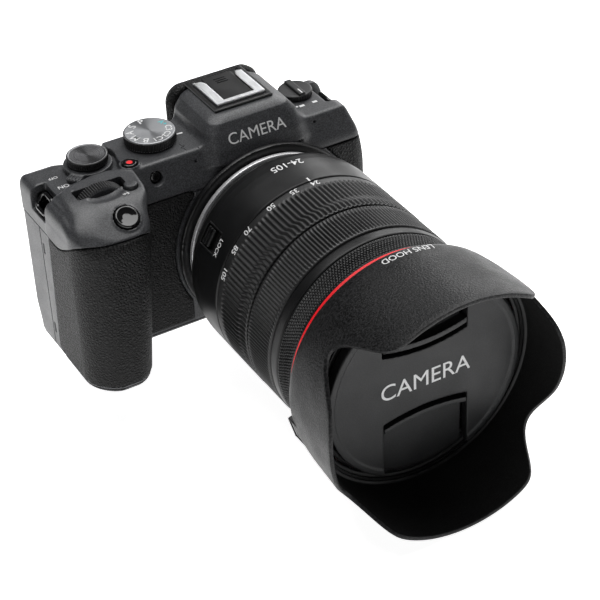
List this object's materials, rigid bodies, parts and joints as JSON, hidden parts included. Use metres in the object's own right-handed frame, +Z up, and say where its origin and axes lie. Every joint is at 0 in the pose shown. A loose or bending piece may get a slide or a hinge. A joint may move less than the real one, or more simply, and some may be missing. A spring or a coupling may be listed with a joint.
{
  "type": "camera with zoom lens",
  "caption": "Compact interchangeable-lens camera with a finder hump and hand grip, fitted with a mid-range zoom lens, petal lens hood and pinch-type lens cap.",
  "frame": {"origin": "on the base plane, below the lens axis, at the sensor plane", "axes": "+Z up, -Y along the lens axis to the front, +X to the terminal side, the hand grip at -X"},
  "size_m": [0.1366, 0.184, 0.1035],
  "materials": {
    "body_plastic": "fine moulded speckle, satin",
    "rubber_skin": "pebbled leather grain",
    "lens_plastic": "smooth satin",
    "ring_rubber": "ribbed, matte",
    "chrome": "polished or satin bright metal",
    "dial_grey": "blasted satin grey",
    "dial_dark": "spun or knurled, dark",
    "gloss_black": "gloss",
    "red_paint": "red lacquer",
    "glass": "coated",
    "sensor": "iridescent",
    "steel": "brushed",
    "hood_plastic": "speckled matte outside, flocked inside"
  },
  "bodies": {
    "camera_body": {"front_cover": "body_plastic", "top_cover": "body_plastic", "rear_cover": "body_plastic", "bottom_plate": "body_plastic", "grip_skin": "rubber_skin", "front_skin": "rubber_skin", "body_mount_ring": "chrome", "mount_frame": "steel", "sensor_unit": "sensor", "battery": "dial_dark", "tripod_socket": "steel", "eyepiece_lens": "glass", "eyecup": "rubber_skin", "hot_shoe": "chrome", "strap_lug_left": "steel", "strap_lug_right": "steel", "af_lamp_window": "glass", "lens_mount_ring": "chrome", "lens_barrel": "lens_plastic", "rear_element": "glass"},
    "shutter_button": {"shutter_button": "gloss_black"},
    "function_button": {"function_button": "body_plastic"},
    "record_button": {"record_button": "gloss_black"},
    "main_dial": {"main_dial": "dial_dark"},
    "mode_dial": {"mode_dial": "dial_grey"},
    "quick_dial": {"quick_dial": "dial_dark"},
    "power_lever": {"power_lever": "body_plastic"},
    "photo_video_dial": {"photo_video_dial": "dial_dark"},
    "shoe_cover": {"shoe_cover": "gloss_black"},
    "lens_release_button": {"lens_release_button": "body_plastic"},
    "lens_lock_pin": {"lens_lock_pin": "steel"},
    "af_on_button": {"af_on_button": "body_plastic"},
    "playback_button": {"playback_button": "body_plastic"},
    "menu_button": {"menu_button": "body_plastic"},
    "cross_keys": {"cross_keys": "body_plastic"},
    "set_button": {"set_button": "body_plastic"},
    "diopter_knob": {"diopter_knob": "dial_dark"},
    "monitor": {"monitor": "body_plastic", "monitor_glass": "glass", "monitor_arm": "body_plastic"},
    "battery_door": {"battery_door": "body_plastic"},
    "door_latch": {"door_latch": "body_plastic"},
    "terminal_cover": {"terminal_cover": "rubber_skin"},
    "shutter_blade_a": {"shutter_blade_a": "gloss_black"},
    "shutter_blade_b": {"shutter_blade_b": "gloss_black"},
    "zoom_ring": {"zoom_ring": "ring_rubber"},
    "inner_barrel": {"inner_barrel": "lens_plastic", "front_bezel": "lens_plastic", "red_ring": "red_paint", "front_element": "glass"},
    "focus_ring": {"focus_ring": "ring_rubber"},
    "control_ring": {"control_ring": "lens_plastic"},
    "hood": {"hood": "hood_plastic"},
    "hood_lock_button": {"hood_lock_button": "body_plastic"},
    "lens_cap": {"lens_cap": "body_plastic"},
    "cap_tab_upper": {"cap_tab_upper": "body_plastic"},
    "cap_tab_lower": {"cap_tab_lower": "body_plastic"},
    "zoom_lock_switch": {"zoom_lock_switch": "body_plastic"},
    "focus_switch": {"focus_switch": "body_plastic"},
    "stabiliser_switch": {"stabiliser_switch": "body_plastic"}
  },
  "joints": [
    {"name": "shutter_button_slide", "type": "slide", "parent": "camera_body", "child": "shutter_button", "axis": [0, 0.5299, -0.848], "range_m": [0, 0.0012], "stiffness_N_per_m": 600},
    {"name": "function_button_slide", "type": "slide", "parent": "camera_body", "child": "function_button", "axis": [0, 0, -1], "range_m": [0, 0.0007], "stiffness_N_per_m": 600},
    {"name": "record_button_slide", "type": "slide", "parent": "camera_body", "child": "record_button", "axis": [0, 0, -1], "range_m": [0, 0.0007], "stiffness_N_per_m": 600},
    {"name": "main_dial_turn", "type": "hinge", "parent": "camera_body", "child": "main_dial", "pos_m": [-0.0672, -0.0149, 0.0656], "axis": [0, 1, 0], "continuous": true},
    {"name": "mode_dial_turn", "type": "hinge", "parent": "camera_body", "child": "mode_dial", "pos_m": [-0.0363, 0.005, 0.0755], "axis": [0, 0, 1], "continuous": true},
    {"name": "quick_dial_turn", "type": "hinge", "parent": "camera_body", "child": "quick_dial", "pos_m": [-0.0625, 0.0057, 0.0725], "axis": [0, 0, 1], "continuous": true},
    {"name": "power_lever_turn", "type": "hinge", "parent": "camera_body", "child": "power_lever", "pos_m": [-0.0625, 0.0057, 0.0725], "axis": [0, 0, 1], "range_deg": [-40, 0]},
    {"name": "photo_video_dial_turn", "type": "hinge", "parent": "camera_body", "child": "photo_video_dial", "pos_m": [0.0286, 0.007, 0.074], "axis": [0, 0, 1], "range_deg": [0, 50]},
    {"name": "shoe_cover_slide", "type": "slide", "parent": "camera_body", "child": "shoe_cover", "axis": [0, 1, 0], "range_m": [0, 0.022]},
    {"name": "lens_release_button_slide", "type": "slide", "parent": "camera_body", "child": "lens_release_button", "axis": [0, 1, 0], "range_m": [0, 0.0014], "stiffness_N_per_m": 600},
    {"name": "lens_lock_pin_slide", "type": "slide", "parent": "camera_body", "child": "lens_lock_pin", "axis": [0, 1, 0], "range_m": [0, 0.0014]},
    {"name": "af_on_button_slide", "type": "slide", "parent": "camera_body", "child": "af_on_button", "axis": [0, -1, 0], "range_m": [0, 0.0005], "stiffness_N_per_m": 600},
    {"name": "playback_button_slide", "type": "slide", "parent": "camera_body", "child": "playback_button", "axis": [0, -1, 0], "range_m": [0, 0.0005], "stiffness_N_per_m": 600},
    {"name": "menu_button_slide", "type": "slide", "parent": "camera_body", "child": "menu_button", "axis": [0, -1, 0], "range_m": [0, 0.0005], "stiffness_N_per_m": 600},
    {"name": "cross_keys_slide", "type": "slide", "parent": "camera_body", "child": "cross_keys", "axis": [0, -1, 0], "range_m": [0, 0.0005], "stiffness_N_per_m": 600},
    {"name": "set_button_slide", "type": "slide", "parent": "camera_body", "child": "set_button", "axis": [0, -1, 0], "range_m": [0, 0.0005], "stiffness_N_per_m": 600},
    {"name": "diopter_knob_turn", "type": "hinge", "parent": "camera_body", "child": "diopter_knob", "pos_m": [0.025, 0.0145, 0.064], "axis": [0, 1, 0], "range_deg": [-120, 120]},
    {"name": "monitor_turn", "type": "hinge", "parent": "camera_body", "child": "monitor", "pos_m": [0.0463, 0.0144, 0], "axis": [0, 0, -1], "range_deg": [0, 175]},
    {"name": "battery_door_turn", "type": "hinge", "parent": "camera_body", "child": "battery_door", "pos_m": [-0.0666, 0, 0], "axis": [0, -1, 0], "range_deg": [0, 95]},
    {"name": "door_latch_slide", "type": "slide", "parent": "battery_door", "child": "door_latch", "axis": [1, 0, 0], "range_m": [0, 0.0022], "stiffness_N_per_m": 300},
    {"name": "terminal_cover_turn", "type": "hinge", "parent": "camera_body", "child": "terminal_cover", "pos_m": [0.0485, -0.0086, 0.032], "axis": [0, 0, -1], "range_deg": [0, 100]},
    {"name": "shutter_blade_a_slide", "type": "slide", "parent": "camera_body", "child": "shutter_blade_a", "axis": [0, 0, 1], "range_m": [0, 0.0125]},
    {"name": "shutter_blade_b_slide", "type": "slide", "parent": "camera_body", "child": "shutter_blade_b", "axis": [0, 0, 1], "range_m": [0, 0.025]},
    {"name": "zoom_ring_turn", "type": "hinge", "parent": "camera_body", "child": "zoom_ring", "pos_m": [0, -0.06, 0.033], "axis": [0, 1, 0], "range_deg": [0, 70]},
    {"name": "inner_barrel_slide", "type": "slide", "parent": "camera_body", "child": "inner_barrel", "axis": [0, -1, 0], "range_m": [0, 0.044]},
    {"name": "focus_ring_turn", "type": "hinge", "parent": "camera_body", "child": "focus_ring", "pos_m": [0, -0.085, 0.033], "axis": [0, 1, 0], "continuous": true},
    {"name": "control_ring_turn", "type": "hinge", "parent": "camera_body", "child": "control_ring", "pos_m": [0, -0.1, 0.033], "axis": [0, 1, 0], "continuous": true},
    {"name": "hood_turn", "type": "hinge", "parent": "inner_barrel", "child": "hood", "pos_m": [0, -0.12, 0.033], "axis": [0, 1, 0], "range_deg": [0, 60]},
    {"name": "hood_lock_button_slide", "type": "slide", "parent": "hood", "child": "hood_lock_button", "axis": [0.9613, 0, 0.2756], "range_m": [0, 0.0009], "stiffness_N_per_m": 300},
    {"name": "lens_cap_slide", "type": "slide", "parent": "inner_barrel", "child": "lens_cap", "axis": [0, -1, 0], "range_m": [0, 0.05]},
    {"name": "cap_tab_upper_slide", "type": "slide", "parent": "lens_cap", "child": "cap_tab_upper", "axis": [0, 0, -1], "range_m": [0, 0.0016], "stiffness_N_per_m": 300},
    {"name": "cap_tab_lower_slide", "type": "slide", "parent": "lens_cap", "child": "cap_tab_lower", "axis": [0, 0, 1], "range_m": [0, 0.0016], "stiffness_N_per_m": 300},
    {"name": "zoom_lock_switch_slide", "type": "slide", "parent": "camera_body", "child": "zoom_lock_switch", "axis": [0, -1, 0], "range_m": [0, 0.003]},
    {"name": "focus_switch_slide", "type": "slide", "parent": "camera_body", "child": "focus_switch", "axis": [0, -1, 0], "range_m": [0, 0.003]},
    {"name": "stabiliser_switch_slide", "type": "slide", "parent": "camera_body", "child": "stabiliser_switch", "axis": [0, -1, 0], "range_m": [0, 0.003]}
  ],
  "couplings": [
    {"joint": "lens_lock_pin_slide", "follows": "lens_release_button_slide", "ratio": 1},
    {"joint": "shutter_blade_b_slide", "follows": "shutter_blade_a_slide", "ratio": 2},
    {"joint": "inner_barrel_slide", "follows": "zoom_ring_turn", "m_per_rad": 0.036}
  ]
}
